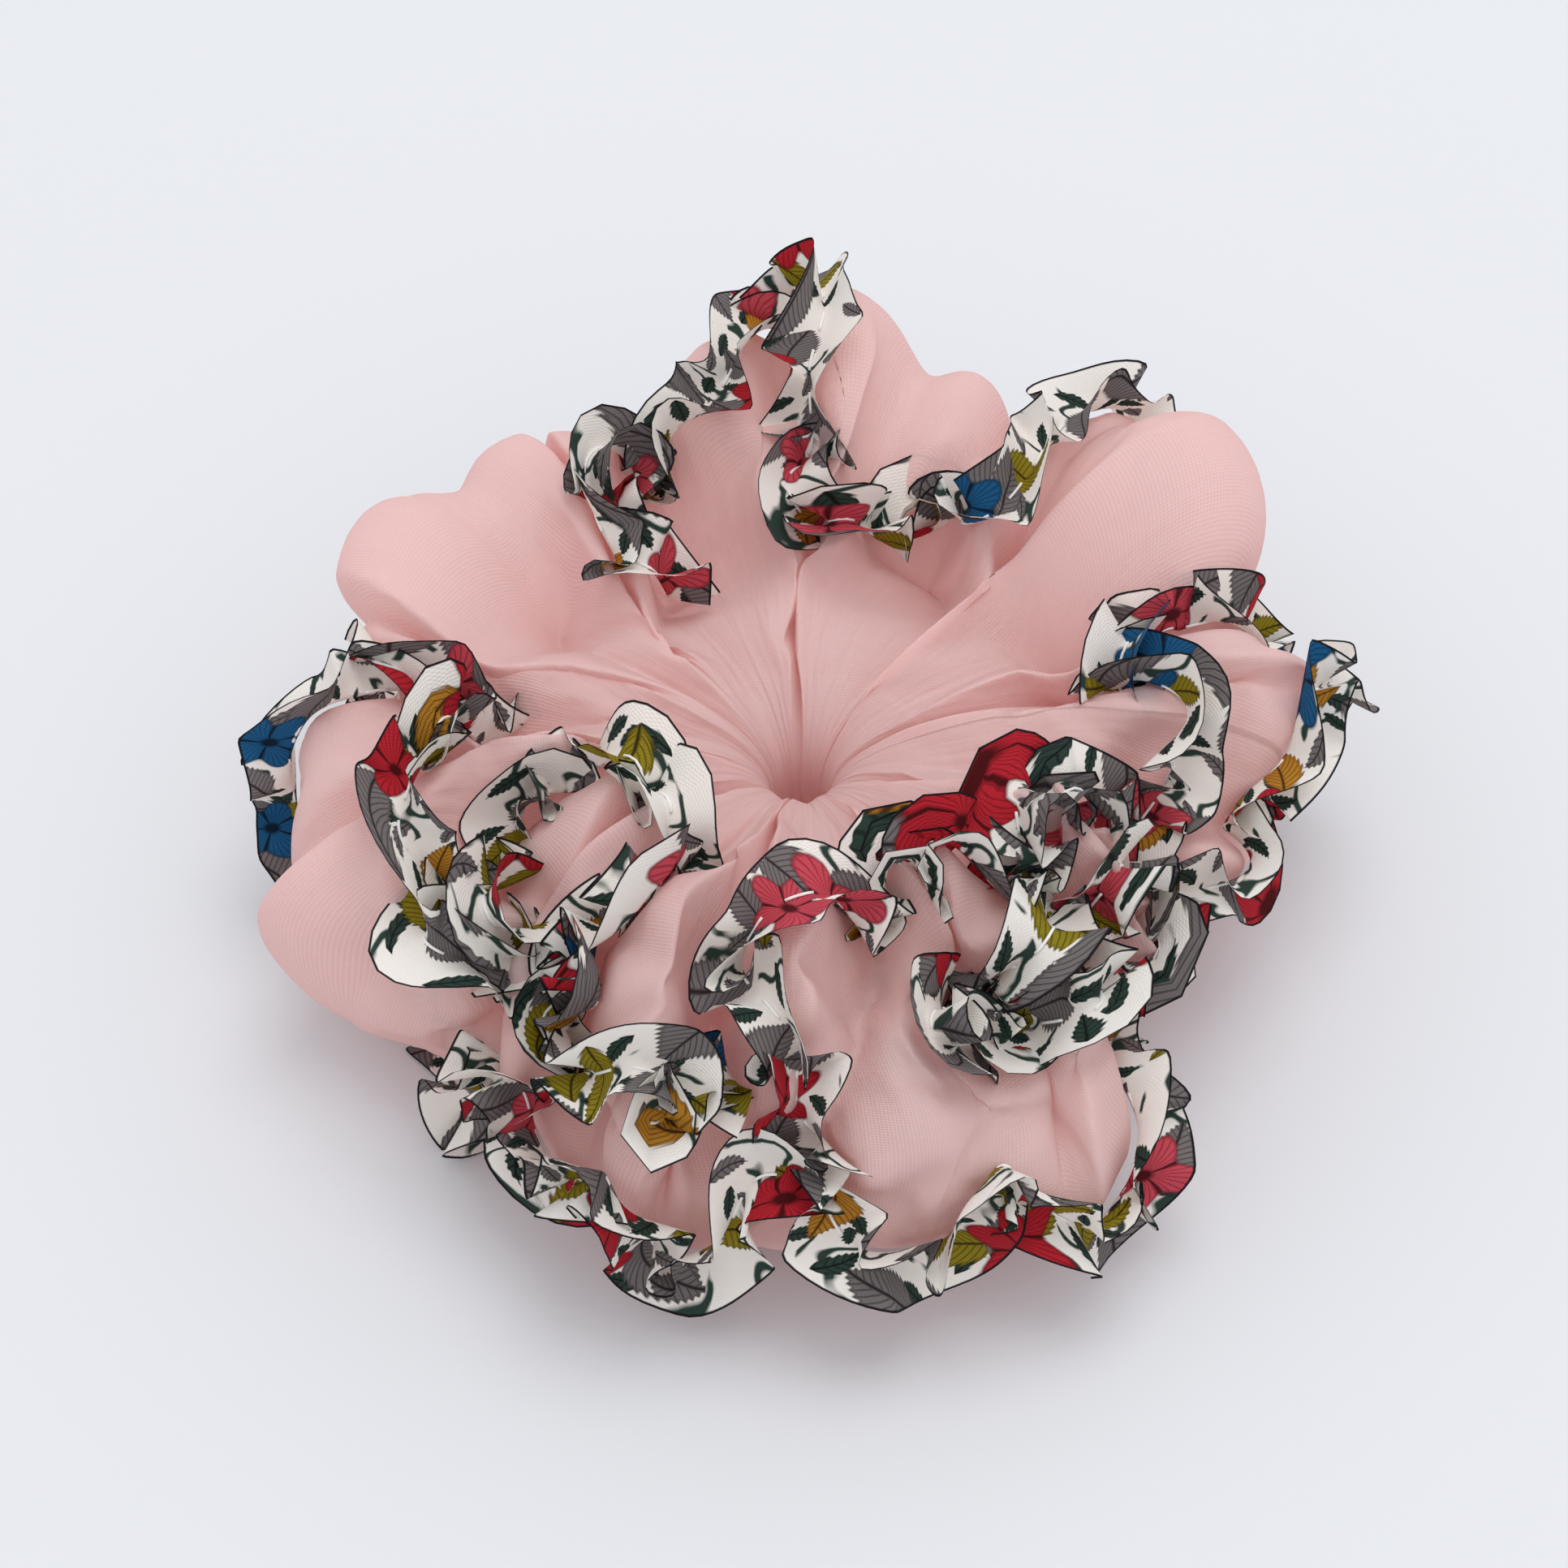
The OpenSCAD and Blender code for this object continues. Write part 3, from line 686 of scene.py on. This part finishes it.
    warp, weft = threads(nodes, links, sep, RIBBON_WEAVE)
    weave = maths(nodes, links, "MULTIPLY", warp, weft)
    bump = node(nodes, "ShaderNodeBump")
    bump.inputs["Strength"].default_value = 0.25
    bump.inputs["Distance"].default_value = 0.0002
    links.new(weave, bump.inputs["Height"])
    skin = node(nodes, "ShaderNodeBsdfPrincipled")
    links.new(colour, skin.inputs["Base Color"])
    skin.inputs["Roughness"].default_value = 0.85
    skin.inputs["Specular IOR Level"].default_value = 0.2
    links.new(bump.outputs[0], skin.inputs["Normal"])
    glow = node(nodes, "ShaderNodeBsdfTranslucent")
    links.new(colour, glow.inputs["Color"])
    mix = node(nodes, "ShaderNodeMixShader")
    mix.inputs[0].default_value = 0.2
    links.new(skin.outputs[0], mix.inputs[1])
    links.new(glow.outputs[0], mix.inputs[2])
    links.new(mix.outputs[0], out.inputs["Surface"])
    return m


def plain_material(name, colour, rough):
    m, nodes, links = material(name)
    out = node(nodes, "ShaderNodeOutputMaterial")
    skin = node(nodes, "ShaderNodeBsdfPrincipled")
    skin.inputs["Base Color"].default_value = colour
    skin.inputs["Roughness"].default_value = rough
    links.new(skin.outputs[0], out.inputs["Surface"])
    return m


cover.data.materials.append(chiffon_material())
trim.data.materials.append(ribbon_material())
white_thread = plain_material("white_thread", srgb(244, 243, 240), 0.8)
trim_stitches.data.materials.append(white_thread)
elastic = plain_material("elastic", srgb(236, 232, 226), 0.7)
pink_thread = plain_material("pink_thread", srgb(222, 150, 148), 0.8)
for name, finish in (("elastic_loop", elastic), ("elastic_tack", white_thread)):
    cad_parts[name].data.materials.clear()
    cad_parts[name].data.materials.append(finish)
hidden_seams = []
for name in ("tube_seam_left", "tube_seam_right", "front_seam", "back_seam"):
    thread = bpy.data.objects.new(name + "_thread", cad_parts[name].data.copy())
    bpy.context.collection.objects.link(thread)
    thread.data.materials.clear()
    thread.data.materials.append(pink_thread)
    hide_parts(name)
    hidden_seams.append(thread)

# The new pieces keep their shape in world space, and the imported pieces that they stand for are hidden
for piece in (cover, trim, trim_stitches, *hidden_seams):
    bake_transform(piece)
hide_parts("cover_left", "cover_right")
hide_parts("upper_trim_left", "upper_trim_right", "lower_trim_left", "lower_trim_right")
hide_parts("upper_stitch_left", "upper_stitch_right",
            "lower_stitch_left", "lower_stitch_right")

# Table, light and camera, in metres
TABLE = 3
SKY, SKY_STRENGTH = (0.96, 0.97, 1.0, 1), 0.90
SOFTBOX_PLACE, SOFTBOX_AIM, SOFTBOX_SIZE, SOFTBOX_POWER = (0.3, 0.2, 2.3), (0, 0, 0.02), 1.6, 15
floor_mesh = bpy.data.meshes.new("table")
corners = [(-TABLE, -TABLE, 0), (TABLE, -TABLE, 0), (TABLE, TABLE, 0), (-TABLE, TABLE, 0)]
floor_mesh.from_pydata(corners, [], [(0, 1, 2, 3)])
floor = bpy.data.objects.new("table", floor_mesh)
bpy.context.collection.objects.link(floor)
floor.data.materials.append(plain_material("table_top", srgb(223, 225, 228), 0.6))

world = bpy.data.worlds.new("room")
bpy.context.scene.world = world
world.use_nodes = True
sky = world.node_tree.nodes["Background"]
sky.inputs["Color"].default_value = SKY
sky.inputs["Strength"].default_value = SKY_STRENGTH


def lamp(name, place, aim, size, power):
    data = bpy.data.lights.new(name, "AREA")
    data.shape = "DISK"
    data.size = size
    data.energy = power
    obj = bpy.data.objects.new(name, data)
    bpy.context.collection.objects.link(obj)
    obj.location = place
    obj.rotation_euler = (Vector(aim) - Vector(place)).to_track_quat("-Z", "Y").to_euler()


lamp("softbox", SOFTBOX_PLACE, SOFTBOX_AIM, SOFTBOX_SIZE, SOFTBOX_POWER)

ELEVATION = 50.0
DISTANCE = 0.55
PX_PER_MM, PHOTO_PX, SENSOR = 8.8, 1932, 36
AIM = Vector((-2.2, 3.8, 24.0)) * MM
cam_data = bpy.data.cameras.new("camera")
cam_data.sensor_width = SENSOR
cam_data.lens = PX_PER_MM * DISTANCE / MM / PHOTO_PX * SENSOR
camera = bpy.data.objects.new("camera", cam_data)
bpy.context.collection.objects.link(camera)
look = Vector((0, math.cos(math.radians(ELEVATION)), -math.sin(math.radians(ELEVATION))))
camera.location = AIM - look * DISTANCE
camera.rotation_euler = look.to_track_quat("-Z", "Y").to_euler()
bpy.context.scene.camera = camera
bpy.context.scene.view_settings.view_transform = "Standard"
